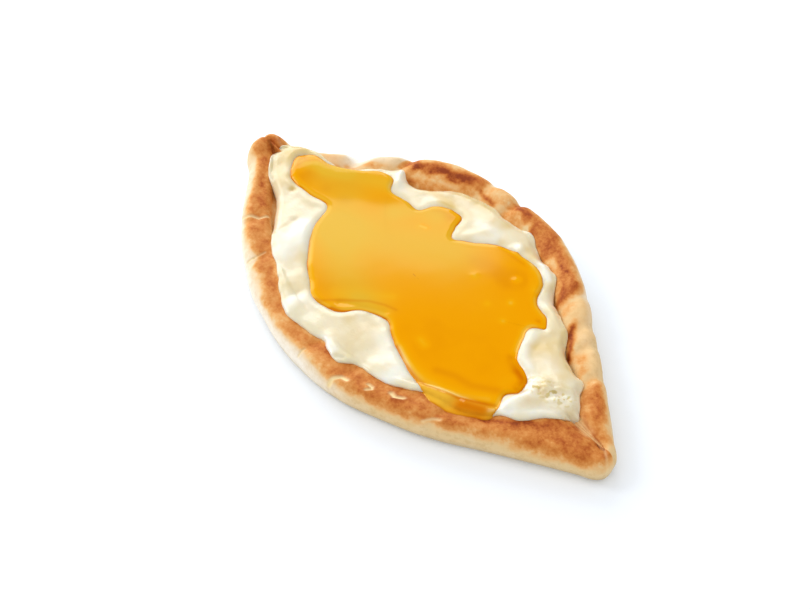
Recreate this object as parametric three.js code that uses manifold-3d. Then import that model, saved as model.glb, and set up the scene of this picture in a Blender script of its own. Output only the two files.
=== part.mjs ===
// A boat-shaped flatbread with its two long sides folded in, spread with thick cream that carries
// a pool of honey. Millimetres, +Z up. The origin is under the middle of the bread, +X runs along
// the boat and +Y points to the side whose folded rim stands a little higher.
import * as THREE from 'three';
import { mergeVertices } from 'three/addons/utils/BufferGeometryUtils.js';
import Module from 'manifold-3d';

const wasm = await Module();
wasm.setup();

// ---- Driving dimensions ------------------------------------------------------------------------

const GAP = 0.3; // clearance between pieces that lie on each other
const SLIVER = 0.02; // size under which a cut's leftovers are smoothed away
const LEAST_EDGE = 0.9; // height of a spread layer's edge over what it rests on
const FLOOR_Z = 6.5; // thickness of the dough between the folded sides
const BULGE_Z = 5.5; // height at which the wall stands out furthest
const CONTACT_INSET = 3.5; // how far the flat underside is tucked in from the bulge
const HEEL = [1.1, 1.6]; // inset and height of the rounded lower edge of the wall
const SHOULDER_DROP = 1.0; // how far below the crest the wall's shoulder lies
const LIP_ROUND = 1.6; // radius of the flap's free edge
const FLOOR_RUN = 5; // distance past the flap at which the floor is level
const SEAM_DROP = 0.8; // depth of the groove where the two flaps meet at each tip
const CREAM_Z = 13.0; // general level of the cream's top
const CREAM_EDGE = 4.0; // radius of the cream's rounded edge
const CREAM_FILM = 1.8; // least thickness of the cream on the flaps
const POOL_DEPTH = 2.2; // how far the cream is pressed down under the honey
const POOL_BANK = 7; // width of the slope round that hollow
const HONEY_Z = 14.2; // level of the honey's surface
const HONEY_EDGE = 2.6; // radius of the honey's rounded edge
const HONEY_FILM = 1.2; // least thickness of the honey where it runs out thinly

// The boat seen from above, at its bulge: tip, high side, other tip, low side.
const BOAT = [
  [120, -3.4], [119.6, 1], [115.6, 6.6], [110.6, 9.8], [96.8, 19.8], [76.2, 33.8], [56.6, 45.4],
  [44.8, 52.4], [28, 61.2], [14, 66], [1, 67.2], [-14, 65.9], [-28, 64], [-44, 60], [-55, 54.5],
  [-65, 46.2], [-76, 35], [-94, 17.2], [-106.5, 8], [-115.5, 4], [-120, -1.5], [-119.8, -9],
  [-116.6, -14.2], [-109, -18.4], [-89, -35.8], [-70.4, -48.8], [-51.8, -57.6], [-36, -62.5],
  [-18, -66.2], [0, -66.9], [20, -64.2], [40, -56.4], [60, -46.4], [80, -32.3], [100, -18.4],
  [112, -10.4], [117.6, -7],
];

// Rim along each side, as rows of x: height of the crest, its inset from the bulge, the width of
// the folded flap and the height of the flap's free edge. Both sides share their end rows.
const LOW_SIDE = [
  [-120, 16.0, 3.8, 10, 15.0], [-110, 13.4, 6.0, 12, 12.4], [-90, 12.4, 4.6, 14, 11.4],
  [-60, 12.9, 3.8, 16, 11.8], [-20, 13.2, 3.2, 17, 12.0], [20, 13.4, 3.2, 17, 12.2],
  [58, 13.4, 3.6, 19, 12.6], [76, 13.3, 3.8, 17, 12.6], [90, 13.1, 3.8, 22, 12.6],
  [108, 12.8, 3.6, 22, 12.4], [120, 11.6, 3.4, 10, 11.6],
];
const HIGH_SIDE = [
  [-120, 16.0, 3.8, 10, 15.0], [-106, 12.6, 4.0, 8, 11.0], [-90, 13.6, 4.6, 14, 11.4],
  [-72, 14.2, 5.0, 16, 11.6], [-52, 15.2, 5.6, 20, 11.0], [-30, 15.0, 5.4, 15, 11.6],
  [0, 15.6, 5.4, 14, 12.2], [40, 15.2, 5.4, 15, 12.0], [62, 14.0, 5.0, 16, 11.8],
  [84, 14.2, 4.6, 13, 12.4], [100, 13.6, 4.2, 17, 12.4], [120, 11.6, 3.4, 10, 11.6],
];

// Folds and cracks across the rim: x, side (+1 high, -1 low), width and depth.
const CREASES = [
  [-82, 1, 3.2, 2.4], [-65.5, 1, 2.6, 2.0], [-29, 1, 3.5, 0.9], [-13.5, 1, 2.6, 1.8],
  [46, 1, 3.4, 1.2], [60, 1, 3.0, 1.0], [70, 1, 2.8, 1.2], [85, 1, 2.8, 1.4],
  [-80, -1, 2.8, 0.9], [-59, -1, 2.6, 0.8], [-3, -1, 2.4, 0.7], [19, -1, 2.6, 0.8],
  [60, -1, 2.4, 0.7],
];

// Outline of the cream seen from above.
const CREAM = [
  [102.5, 2.2], [93.5, 5.6], [89, 13], [84, 18.2], [76, 18.2], [66, 24.5], [57, 32], [46, 35.2],
  [39, 38.5], [30, 46.6], [18, 49.4], [4, 55], [-10, 52.6], [-24, 52], [-34, 48.4], [-43, 41.5],
  [-50, 34.5], [-57, 33], [-63, 35], [-67.5, 29], [-74, 22.5], [-80, 15.5], [-88, 12.2],
  [-98, 10.4], [-106.5, 4.5], [-108, -5.5], [-98.5, -14.6], [-84.6, -20.4], [-71.4, -31], [-59.4, -40.3],
  [-48.6, -45.2], [-36, -52.2], [-24, -59.2], [-8, -58.2], [4, -56.4], [11, -57.2], [18, -51.6],
  [32, -47.6], [44, -42.4], [54, -37.6], [65, -31], [73, -24.2], [76, -19.6], [82, -16.8],
  [87.5, -8], [93, -0.6],
];

// Outline of the honey seen from above.
const HONEY = [
  [71, -8], [69, -1.6], [64, 1.4], [57, 3], [51, 11], [47, 19], [51, 23.5], [47, 27.6],
  [36.5, 31], [30, 40], [22, 44], [10, 42.4], [0, 38], [-7, 31.5], [-14.5, 26], [-18.5, 30],
  [-22, 36.8], [-29, 36.4], [-35.5, 32], [-38, 25], [-46, 24], [-54.5, 22], [-60, 27.4],
  [-67, 26], [-75, 17.4], [-84, 11.2], [-94, 7.8], [-98.5, 2.6], [-96, -3.4], [-89, -8.6], [-76, -8],
  [-65, -6.2], [-57.5, -18.6], [-45, -31.2], [-32, -39.6], [-24, -43.4], [-11, -40.2], [-5, -31.6],
  [5, -26.4], [14, -30.4], [28, -34.8], [41, -39.4], [54, -39.2], [65.6, -33.4], [73.6, -25.6],
  [72, -18.8], [68.5, -13],
];

// Soft lumps in the cream's top: x, y, radius, height.
const LUMPS = [
  [80, 4, 11, 3.6], [76, -12, 7, 2.4], [64, 16, 12, 1.8], [48, 31, 8, 1.0], [22, 46, 8, 0.8],
  [-10, 44, 13, 1.6], [-40, 37, 10, 0.8], [-100, 3, 8, 2.2], [-88, -14, 9, 0.8],
  [-70, -20, 9, 1.2], [-56, -30, 9, 1.6], [-38, -46, 10, 1.0], [-12, -50, 12, 1.2],
  [6, -40, 11, 1.4], [28, -42, 8, 1.2],
];

const BOAT_STEPS = 176;
const CREAM_STEPS = 144;
const HONEY_STEPS = 132;

// ---- Curves and tables -------------------------------------------------------------------------

const clamp = (value, low, high) => Math.min(Math.max(value, low), high);
const mix = (a, b, t) => a + (b - a) * t;
const smooth = (t) => t * t * (3 - 2 * t);

// Evenly spaced points on the closed curve through an outline.
function closedCurve(outline, steps) {
  const points = outline.map(([x, y]) => new THREE.Vector3(x, y, 0));
  return new THREE.CatmullRomCurve3(points, true, 'centripetal').getSpacedPoints(steps).slice(0, steps);
}

// One row of a table at x, eased between the rows on either side.
function rowAt(table, x) {
  let i = 1;
  while (i < table.length - 1 && table[i][0] < x) i += 1;
  const [before, after] = [table[i - 1], table[i]];
  const t = smooth(clamp((x - before[0]) / (after[0] - before[0]), 0, 1));
  return before.map((value, column) => mix(value, after[column], t));
}

// Distance from a point to a closed ring, positive inside it.
function depthInside(ring, x, y) {
  let nearest = Infinity;
  let inside = false;
  ring.forEach((a, i) => {
    const b = ring[(i + 1) % ring.length];
    const t = clamp(((x - a.x) * (b.x - a.x) + (y - a.y) * (b.y - a.y)) / a.distanceToSquared(b), 0, 1);
    nearest = Math.min(nearest, Math.hypot(x - mix(a.x, b.x, t), y - mix(a.y, b.y, t)));
    if (a.y > y !== b.y > y && x < mix(a.x, b.x, (y - a.y) / (b.y - a.y))) inside = !inside;
  });
  return inside ? nearest : -nearest;
}

// Quarter-round rise of a soft edge: 0 at the outline, 1 from one radius inwards.
const roundedEdge = (depth, radius) => Math.sqrt(1 - (1 - clamp(depth / radius, 0, 1)) ** 2);

// ---- Closed bodies -----------------------------------------------------------------------------

// A lathe-shaped skin whose rings are moved to the places that place(ring, step) gives, from the
// middle of the underside, out round the edge and in to the middle of the top.
function ringedSkin(rings, steps, place) {
  const profile = Array.from({ length: rings }, (_, ring) => {
    const radius = ring === 0 || ring === rings - 1 ? 0 : 1;
    return new THREE.Vector2(radius, ring);
  });
  const skin = new THREE.LatheGeometry(profile, steps);
  const position = skin.getAttribute('position');
  for (let i = 0; i < position.count; i += 1) {
    const p = place(i % rings, Math.floor(i / rings) % steps);
    position.setXYZ(i, p.x, p.y, p.z);
  }
  skin.deleteAttribute('normal');
  skin.deleteAttribute('uv');
  return mergeVertices(skin, 1e-4);
}

function toSolid(geometry) {
  const vertProperties = new Float32Array(geometry.getAttribute('position').array);
  const triVerts = new Uint32Array(geometry.getIndex().array);
  return new wasm.Manifold(new wasm.Mesh({ numProp: 3, vertProperties, triVerts }));
}

function toGeometry(solid) {
  const { vertProperties, triVerts } = solid.getMesh();
  const geometry = new THREE.BufferGeometry();
  geometry.setAttribute('position', new THREE.BufferAttribute(vertProperties, 3));
  geometry.setIndex(new THREE.BufferAttribute(triVerts, 1));
  return geometry;
}

// The largest connected body of a cut solid, without the slivers that the cut leaves.
function mainBody(solid) {
  const bodies = solid.simplify(SLIVER).decompose();
  return bodies.sort((a, b) => b.volume() - a.volume())[0];
}

// Height of the highest surface below a point high above x, y.
function restHeight(meshes, x, y) {
  const ray = new THREE.Raycaster(new THREE.Vector3(x, y, 100), new THREE.Vector3(0, 0, -1));
  const hits = ray.intersectObjects(meshes, false);
  return hits.length > 0 ? hits[0].point.z : FLOOR_Z;
}

// ---- Bread -------------------------------------------------------------------------------------

const FULL_REACH = 0.9; // share of the way to the seam that the rim may take up
const CLOSING_RUN = 7; // run over which the floor climbs to the closed tips

// Line on which the two flaps would meet, from tip to tip.
const SEAM = new THREE.LineCurve3(new THREE.Vector3(-113, -2.2, 0), new THREE.Vector3(112, 2.4, 0));
const seamPoint = (x) => SEAM.getPoint(clamp(x / BOAT[0][0], -1, 1) / 2 + 0.5);

// How deep the folds cut into the rim at one point of the outline.
function creaseDepth(x, side) {
  const cuts = CREASES.filter(([, itsSide]) => itsSide === side);
  return cuts.reduce((sum, [at, , width, depth]) => sum + depth * Math.exp(-(((x - at) / width) ** 2)), 0);
}

// The rim's section at one outline point, from the underside's edge, over the crest and down to
// the floor. Each row is the inset, the height and the furthest share of the way to the seam that
// the row may take up, which keeps the rows in order where the tips narrow.
function rimSection(point, reach) {
  const side = point.y > seamPoint(point.x).y ? 1 : -1;
  const [, crestZ, crestInset, flap, lipZ] = rowAt(side > 0 ? HIGH_SIDE : LOW_SIDE, point.x);
  const cut = creaseDepth(point.x, side);
  const crest = crestZ - cut;
  const lip = lipZ - cut / 2;
  const openShare = clamp((reach * FULL_REACH - flap - FLOOR_RUN) / CLOSING_RUN + 1, 0, 1);
  const base = mix(lip - SEAM_DROP, FLOOR_Z, smooth(openShare));
  return [
    [CONTACT_INSET, 0, 0.5],
    [HEEL[0] + cut * 0.2, HEEL[1], 0.3],
    [cut * 0.3, BULGE_Z, 0.2],
    [0.7 + cut * 0.4, mix(BULGE_Z, crest, 0.62), 0.24],
    [crestInset / 2 + cut * 0.4, crest - SHOULDER_DROP, 0.4],
    [crestInset, crest, 0.52],
    [(crestInset + flap) / 2, mix(crest, lip, 0.4), 0.68],
    [flap - LIP_ROUND, lip, 0.8],
    [flap, Math.max(lip - LIP_ROUND, base), 0.85],
    [flap + LIP_ROUND, mix(base, lip, 0.12), 0.88],
    [flap + FLOOR_RUN, base, FULL_REACH],
    [Infinity, base, 0.93],
  ];
}

function makeBread() {
  const outline = closedCurve(BOAT, BOAT_STEPS);
  const stations = outline.map((point) => {
    const target = seamPoint(point.x);
    const reach = point.distanceTo(target);
    const section = rimSection(point, reach).map(([inset, z, share]) => {
      const place = point.clone().lerp(target, Math.min(inset / reach, share));
      return place.setZ(z);
    });
    const underside = point.clone().lerp(target, 0.6).setZ(0);
    return [underside, ...section];
  });
  const lowest = seamPoint(0).setZ(0);
  const highest = seamPoint(0).setZ(FLOOR_Z);
  const rings = stations[0].length + 2;
  return ringedSkin(rings, BOAT_STEPS, (ring, step) => {
    if (ring === 0) return lowest;
    if (ring === rings - 1) return highest;
    return stations[step][ring - 1];
  });
}

// ---- Cream and honey ---------------------------------------------------------------------------

// How far in the rings of a spread layer lie, as shares of the way to its middle.
const RING_SHARES = [0, 0.008, 0.025, 0.06, 0.13, 0.26, 0.45, 0.7];
const ROUNDING_PASSES = 3;

function middleOf(ring) {
  return ring.reduce((sum, p) => sum.add(p), new THREE.Vector3()).divideScalar(ring.length);
}

// Rings that run inwards from an outline, each rounder than the one before it.
function inwardRings(outline) {
  const steps = outline.length;
  const middle = middleOf(outline);
  let rounder = outline;
  return RING_SHARES.map((share, i) => {
    for (let pass = 0; pass < ROUNDING_PASSES * i; pass += 1) {
      rounder = rounder.map((p, k) => {
        const sides = rounder[(k + 1) % steps].clone().add(rounder[(k + steps - 1) % steps]);
        return sides.multiplyScalar(0.25).addScaledVector(p, 0.5);
      });
    }
    return rounder.map((p) => p.clone().lerp(middle, share));
  });
}

// A spread layer: its top rises from what it rests on, over a rounded edge, to topAt(x, y, rest).
// Its underside is left low, to be cut away by what it rests on.
function spreadBlank(outline, edge, meshes, topAt) {
  const layout = inwardRings(outline);
  const tops = layout.map((ring, i) => ring.map((p) => {
    const rest = restHeight(meshes, p.x, p.y);
    const depth = i === 0 ? 0 : depthInside(outline, p.x, p.y);
    return p.clone().setZ(mix(rest + LEAST_EDGE, topAt(p.x, p.y, rest), roundedEdge(depth, edge)));
  }));
  const sunk = outline.map((p) => p.clone().setZ(FLOOR_Z / 2));
  const skins = [sunk, ...tops];
  const middle = middleOf(outline);
  const highest = middle.clone().setZ(topAt(middle.x, middle.y, restHeight(meshes, middle.x, middle.y)));
  return ringedSkin(skins.length + 2, outline.length, (ring, step) => {
    if (ring === 0) return middleOf(sunk);
    if (ring === skins.length + 1) return highest;
    return skins[ring - 1][step];
  });
}

function creamTop(x, y, rest) {
  const lumps = LUMPS.reduce((sum, [cx, cy, radius, height]) => {
    return sum + height * Math.exp(-((x - cx) ** 2 + (y - cy) ** 2) / radius ** 2);
  }, 0);
  const pool = smooth(clamp(depthInside(honeyOutline, x, y) / POOL_BANK + 0.3, 0, 1));
  return Math.max(CREAM_Z + lumps * (1 - pool * 0.7) - POOL_DEPTH * pool, rest + CREAM_FILM);
}

const honeyTop = (x, y, rest) => Math.max(HONEY_Z, rest + HONEY_FILM);

// ---- Assembly ----------------------------------------------------------------------------------

function named(name, geometry, color, roughness) {
  const mesh = new THREE.Mesh(geometry, new THREE.MeshStandardMaterial({ color, roughness, metalness: 0 }));
  mesh.name = name;
  return mesh;
}

const honeyOutline = closedCurve(HONEY, HONEY_STEPS);
const creamOutline = closedCurve(CREAM, CREAM_STEPS);

const breadGeometry = makeBread();
const bread = named('bread', breadGeometry, 0xd79a60, 0.75);
const breadSolid = toSolid(breadGeometry);

const creamBlank = toSolid(spreadBlank(creamOutline, CREAM_EDGE, [bread], creamTop));
const creamSolid = mainBody(creamBlank.subtract(breadSolid.translate([0, 0, GAP])));
const cream = named('cream', toGeometry(creamSolid), 0xf3efd9, 0.35);

const honeyBlank = toSolid(spreadBlank(honeyOutline, HONEY_EDGE, [bread, cream], honeyTop));
const raisedCream = creamSolid.add(creamSolid.translate([0, 0, GAP]));
const underHoney = raisedCream.add(breadSolid.translate([0, 0, 1.5 * GAP]));
const honeySolid = mainBody(honeyBlank.subtract(underHoney));
const honey = named('honey', toGeometry(honeySolid), 0xf0a51c, 0.08);

const manakish = new THREE.Group();
manakish.add(bread, cream, honey);

export default manakish;
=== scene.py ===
import math

import bpy
import numpy as np
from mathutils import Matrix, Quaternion, Vector
from mathutils.bvhtree import BVHTree
from mathutils.kdtree import KDTree


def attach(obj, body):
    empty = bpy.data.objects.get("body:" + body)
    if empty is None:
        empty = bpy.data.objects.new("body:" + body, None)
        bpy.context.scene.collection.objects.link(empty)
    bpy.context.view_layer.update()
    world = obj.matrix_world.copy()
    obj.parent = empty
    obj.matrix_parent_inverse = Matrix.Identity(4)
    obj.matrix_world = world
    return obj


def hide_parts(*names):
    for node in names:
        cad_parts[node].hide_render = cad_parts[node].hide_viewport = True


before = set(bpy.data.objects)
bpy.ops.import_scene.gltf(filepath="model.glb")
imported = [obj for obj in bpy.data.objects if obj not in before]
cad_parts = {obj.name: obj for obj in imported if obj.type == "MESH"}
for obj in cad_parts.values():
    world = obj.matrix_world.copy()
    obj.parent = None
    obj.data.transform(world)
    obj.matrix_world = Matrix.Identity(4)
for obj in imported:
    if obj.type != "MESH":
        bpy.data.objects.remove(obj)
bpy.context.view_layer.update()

# A manakish: a boat-shaped flatbread with folded sides, thick cream and a pool of honey.
# Lengths are millimetres until a mesh is made, and MM turns them into Blender's metres.
MM = 0.001

# ---- The bread's form --------------------------------------------------------------------------

FLOOR_Z = 6.5  # thickness of the dough between the folded sides
BULGE_Z = 5.5  # height at which the wall stands out furthest
CONTACT_INSET = 3.5  # how far the flat underside is tucked in from the bulge
HEEL = (1.1, 1.6)  # inset and height of the rounded lower edge of the wall
SHOULDER_DROP = 1.0  # how far below the crest the wall's shoulder lies
LIP_ROUND = 1.6  # radius of the flap's free edge
FLOOR_RUN = 5.0  # distance past the flap at which the floor is level
SEAM_DROP = 0.8  # depth of the groove where the two flaps meet at each tip
FULL_REACH = 0.9  # share of the way to the seam that the rim may take up
CLOSING_RUN = 7.0  # run over which the floor climbs to the closed tips
SEAM = np.array([[-113.0, -2.2], [112.0, 2.4]])  # line on which the two flaps would meet

# The boat seen from above, at its bulge: tip, high side, other tip, low side.
BOAT = np.array([
    [120, -3.4], [119.6, 1], [115.6, 6.6], [110.6, 9.8], [96.8, 19.8], [76.2, 33.8], [56.6, 45.4],
    [44.8, 52.4], [28, 61.2], [14, 66], [1, 67.2], [-14, 65.9], [-28, 64], [-44, 60], [-55, 54.5],
    [-65, 46.2], [-76, 35], [-94, 17.2], [-106.5, 8], [-115.5, 4], [-120, -1.5], [-119.8, -9],
    [-116.6, -14.2], [-109, -18.4], [-89, -35.8], [-70.4, -48.8], [-51.8, -57.6], [-36, -62.5],
    [-18, -66.2], [0, -66.9], [20, -64.2], [40, -56.4], [60, -46.4], [80, -32.3], [100, -18.4],
    [112, -10.4], [117.6, -7],
])

# Rim along each side, as rows of x: height of the crest, its inset from the bulge, the width of
# the folded flap and the height of the flap's free edge. Both sides share their end rows.
LOW_SIDE = np.array([
    [-120, 16.0, 3.8, 10, 15.0], [-110, 13.4, 6.0, 12, 12.4], [-90, 12.4, 4.6, 14, 11.4],
    [-60, 12.9, 3.8, 16, 11.8], [-20, 13.2, 3.2, 17, 12.0], [20, 13.4, 3.2, 17, 12.2],
    [58, 13.4, 3.6, 19, 12.6], [76, 13.3, 3.8, 17, 12.6], [90, 13.1, 3.8, 22, 12.6],
    [108, 12.8, 3.6, 22, 12.4], [120, 11.6, 3.4, 10, 11.6],
])
HIGH_SIDE = np.array([
    [-120, 16.0, 3.8, 10, 15.0], [-106, 12.6, 4.0, 8, 11.0], [-90, 13.6, 4.6, 14, 11.4],
    [-72, 14.2, 5.0, 16, 11.6], [-52, 15.2, 5.6, 20, 11.0], [-30, 15.0, 5.4, 15, 11.6],
    [0, 15.6, 5.4, 14, 12.2], [40, 15.2, 5.4, 15, 12.0], [62, 14.0, 5.0, 16, 11.8],
    [84, 14.2, 4.6, 13, 12.4], [100, 13.6, 4.2, 17, 12.4], [120, 11.6, 3.4, 10, 11.6],
])

# Folds across the rim: x, side (+1 high, -1 low), width and depth.
CREASES = [
    (-82, 1, 3.2, 2.4), (-65.5, 1, 2.6, 2.0), (-29, 1, 3.5, 0.9), (-13.5, 1, 2.6, 1.8),
    (46, 1, 3.4, 1.2), (60, 1, 3.0, 1.0), (70, 1, 2.8, 1.2), (85, 1, 2.8, 1.4),
    (-80, -1, 2.8, 0.9), (-59, -1, 2.6, 0.8), (-3, -1, 2.4, 0.7), (19, -1, 2.6, 0.8),
    (60, -1, 2.4, 0.7),
]

# Browning of the rim, as rows of x: where it starts and ends, as the way climbed from the bulge,
# and its strength.
TOAST_LOW = np.array([
    [-120, 10.5, 40, 1.0], [-116, 11.8, 40, 1.0], [-110, 11.8, 26, 0.95], [-102, 11.2, 15, 0.9],
    [-96, 10, 18, 0.85], [-90, 9.0, 21.5, 0.9], [-80, 8.8, 20.8, 0.92], [-70, 10.8, 20, 0.88],
    [-60, 11.2, 18.8, 0.87], [-50, 11.2, 17.6, 0.92], [-42, 10.6, 16.8, 0.88], [-36, 8.8, 15, 0.85],
    [-30, 8.0, 14, 0.82], [-24, 7.8, 14, 0.78], [-16, 8.0, 15, 0.78], [-6, 9.6, 17, 0.88],
    [6, 8.8, 18, 0.92], [15, 8.0, 19, 0.95], [25, 7.2, 20, 1.0], [45, 6.8, 20, 0.92],
    [60, 7, 20, 0.98], [75, 7, 20, 0.9], [85, 6.2, 24, 0.85], [100, 5.6, 30, 1.0],
    [112, 5.6, 30, 1.05], [120, 6, 20, 0.9],
])
TOAST_HIGH = np.array([
    [-120, 11, 40, 1.1], [-113, 11, 40, 1.1], [-108, 14, 40, 0.8], [-104, 14, 17, 0.3],
    [-101, 9, 17, 0.2], [-96, 8, 17, 0.3], [-88, 8, 17, 0.25], [-84, 12, 17, 0.1],
    [-76, 13, 19, 0.12], [-68, 13, 20, 0.2], [-66.5, 7.5, 14, 0.6], [-64, 7.6, 13.3, 1.1],
    [-60, 13, 18.6, 1.35], [-55, 13.6, 19.3, 1.28], [-42, 13.4, 19.3, 1.24], [-37, 11.8, 17, 1.25],
    [-32.5, 10.5, 15.8, 1.0], [-29.5, 9, 14, 0.3], [-26, 9, 18, 0.4], [-19, 9.5, 17.5, 0.45],
    [-16, 8, 14, 0.5], [-13, 7, 13.2, 1.15], [-9, 9, 15, 1.2], [-4, 10.8, 18, 1.2],
    [6, 11, 19.6, 1.15], [12, 10.2, 22, 1.05], [18, 12.3, 21.8, 1.05], [24, 11.5, 18, 1.1],
    [30, 11.8, 20.2, 1.1], [37, 11, 18.8, 1.1], [42, 10.5, 25, 0.95], [46.5, 8, 22, 0.2],
    [60, 7, 24, 0.17], [70, 9, 23, 0.17], [82, 8, 14, 0.14], [86, 8, 14, 0.4], [89, 9.2, 17, 0.95],
    [96, 9.2, 20.5, 0.95], [102, 9, 18.5, 0.95], [108, 9.5, 40, 0.95], [113, 8, 40, 0.9],
    [117, 9, 40, 0.5], [120, 10, 40, 0.3],
])

FOOT = 0.5  # strength of the faint browning below the toasted band
FOOT_WIDTH = 5.5
TOAST_LOW_FADE = 4.5  # run over which the browning sets in on the wall
TOAST_TOP_FADE = 2.5  # run over which it ends on the flap

# Flour on the pale dough, and on the low side painted light as well: its wall is whiter where it faces the
# lamp on the left. The stations between which it fades in, from either end of a side.
LOW_FLOUR_AND_LIGHT_ENDS = ((-124, -100), (40, -5))
LOW_FLOUR_AND_LIGHT = 0.75  # its strength at the foot of the low side's wall
LOW_FLOUR_AND_LIGHT_LOSS = 0.4  # how much weaker it is further up
LOW_FLOUR_AND_LIGHT_CLIMB = (1, 8)  # climbs between which it weakens so
HIGH_FLOUR_ENDS = ((-121, -99), (70, 20))
HIGH_FLOUR_CLIMB = (11, 7)  # climbs between which it fades in, going down
# Floury patches on the high side: station, width, strength, and the climbs they fade in between. The one at
# -50, on the inner slope, is painted light on a shaded face.
FLOUR_AND_LIGHT_PATCHES = [(-82, 14, 0.5, (18, 13)), (-50, 16, 0.5, (17, 20))]

# Strokes are a line of points, the stroke's width and its strength. On the rim a point is x and
# the way climbed from the bulge.
SCORCH_LOW = [
    ([(-90, 14), (-86, 15)], 2.0, 0.2), ([(-24, 8), (-23, 12)], 2.6, -0.3),
    ([(72, 15), (84, 16.5)], 2.0, 0.35), ([(44, 12), (50, 13)], 2.4, 0.3),
    ([(98, 13), (108, 12)], 2.5, 0.2), ([(84, 9), (96, 8)], 1.5, 0.1),
    ([(86, 17.5), (94, 19)], 3.0, 0.45), ([(-48, 16), (-44, 14)], 2.0, 0.15),
    ([(8, 10), (12, 12)], 2.0, -0.2), ([(112, 13), (118, 11)], 2.4, 0.2),
    ([(-100, 12), (-96, 14)], 1.6, 0.25),
]
SCORCH_HIGH = [
    ([(-30, 15.5), (-26, 17.5), (-21, 19)], 1.3, 0.9), ([(-63, 25), (-56, 26)], 1.4, 0.4),
    ([(-54, 21), (-50, 22)], 1.0, 0.3), ([(-47, 20), (-40, 19)], 0.9, 0.2),
    ([(-58, 22.3), (-40, 22)], 1.6, -0.3), ([(-65, 16), (-64.5, 21)], 1.6, -0.4),
    ([(58, 17), (61, 18), (65, 20), (69, 21)], 2.2, 1.3), ([(74, 17), (80, 17)], 3.0, 0.42),
    ([(-99, 16), (-92, 18), (-85, 17)], 1.0, 0.45), ([(-83, 14), (-81, 16)], 1.6, 0.3),
    ([(-77, 15), (-72, 18)], 1.8, 0.35), ([(-54, 16), (-44, 16.5)], 2.0, 0.2),
    ([(-40, 15), (-36, 13)], 1.6, 0.25), ([(41, 12), (42, 24)], 1.6, 0.3),
    ([(0, 18), (0.5, 21)], 1.8, -0.9), ([(48, 15), (49, 19.5)], 2.0, 0.25),
    ([(28, 16), (38, 13)], 1.4, 0.3), ([(20, 19), (30, 18)], 1.4, -0.25),
    ([(88, 11.5), (102, 11.5)], 1.2, 0.25), ([(96, 16.5), (106, 15)], 1.4, -0.35),
    ([(-10, 13), (-4, 14)], 1.6, 0.25),
]

# Thin pale cracks across the low side, as strokes.
CRACKS_LOW = [
    ([(-84, 5), (-82, 9.5), (-79.5, 13), (-79, 18)], 0.55, 0.8), ([(-60.5, 5), (-59.5, 9)], 0.5, 0.6),
    ([(-59.5, 9), (-60.3, 15)], 0.5, 0.35), ([(-3.6, 4), (-3, 9)], 0.5, 0.7),
    ([(16.3, 3), (17, 7), (18.8, 9.2), (22, 9.9)], 0.9, 1.2),
    ([(29.5, 13.2), (31.5, 12.6), (32.4, 11.2), (31.2, 10)], 0.65, 1.1),
    ([(39, 13.6), (41.5, 12.2), (44.6, 13)], 0.8, 1.1), ([(57, 6), (59.5, 7.8), (62, 8.6)], 0.7, 0.6),
]
CRACK_LIP = 1.1  # how far past a crack's own width its raised lip reaches
CRACK_LIP_HEIGHT = 0.48
CRACK_DEPTH = 0.9

# Where the two flaps meet at the tips, as strokes in plan: grooves, their pale torn edges (colour
# alone), and the lobes beside them.
TIP_GROOVES = [
    ([(-121, -3.4), (-117, -3.0), (-112, -2.6), (-107, -2.2)], 0.7, -0.6),
    ([(103, 2.2), (110, 2.6), (114, 1.6), (121.5, -2.6)], 0.8, -0.35),
    ([(92, 4), (97, 3.2), (101, 2.6)], 2.2, -0.8),
]
TIP_TORN = [
    ([(95, 3.4), (103, 2.2)], 1.8, 0.45),
    ([(103, 2.2), (110, 2.6), (114, 1.6), (121.5, -2.6)], 0.6, 0.3),
    ([(-113, 0.6), (-108, 0)], 0.7, 0.15),
]
TIP_LOBES = [
    ([(-117.5, 0.6), (-110, 1.2)], 2.2, 0.8), ([(-113, -7.5), (-111, -5.5)], 3.5, 0.6),
    ([(116, 4.0)], 2.6, 0.7),
]

RELIEF_START = 1.5  # height at which the crust's relief sets in, above the flat underside
RELIEF_RUN = 3.0  # height over which it then grows to its full depth

# ---- The cream's and the honey's form ----------------------------------------------------------

CREAM_Z = 13.0  # general level of the cream's top
CREAM_EDGE = 4.0  # radius of the cream's rounded edge
CREAM_FILM = 1.8  # least thickness of the cream on the flaps
POOL_DEPTH = 2.2  # how far the cream is pressed down under the honey
POOL_BANK = 4.5  # width of the slope round that hollow
POOL_START = 0.1  # share of that slope's run that lies outside the honey's outline
POOL_LIP = 0.5  # how far the cream swells beside the honey
POOL_LIP_AWAY = 2  # distance of that swelling from the honey's outline
POOL_LIP_WIDTH = 3
POOL_CALM = 0.6  # share of the cream's waves that is pressed flat under the honey
FILM_WAVES = 0.5  # share of the waves that is left where the cream is a thin film
LUMP_FADE = 6  # run over which the lumps are pressed flat towards the honey
LUMP_FADE_START = 0.6  # share of that run that lies outside the honey's outline
HONEY_Z = 14.2  # level of the honey's surface
HONEY_EDGE = 2.6  # radius of the honey's rounded edge
HONEY_FILM = 0.64  # least thickness of the honey where it runs out thinly
LEAST_SEEN = 1.7  # thickness that the honey's colour is worked out for where it is thinner
RIM_WIDTH = 0.7  # width of the darker line along the honey's edge
HAZE_AND_REFLECTION_EDGE = 1.5  # how far inside the edge the honey's cloudiness and painted reflection are at full strength

# Unevenness of outlines, surfaces and colours: size across, depth, seed and layers.
CRUST_SWELL = (19, 0.45, 11, 2)
CRUST_PIMPLES = (5, 0.14, 21, 3)
TOAST_RAGS = (6, 1.1, 31, 4)
CREAM_WAVER = (7, 0.5, 41, 2)
HONEY_WAVER = (6, 0.35, 43, 2)
CREAM_SWELL = (18, 0.4, 3, 2)
CREAM_WAVES = (6, 0.10, 8, 2)
CREAM_MOTTLE = (11, 0.35, 61, 3)
RIM_MOTTLE = (9, 0.5, 51, 2)

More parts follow.
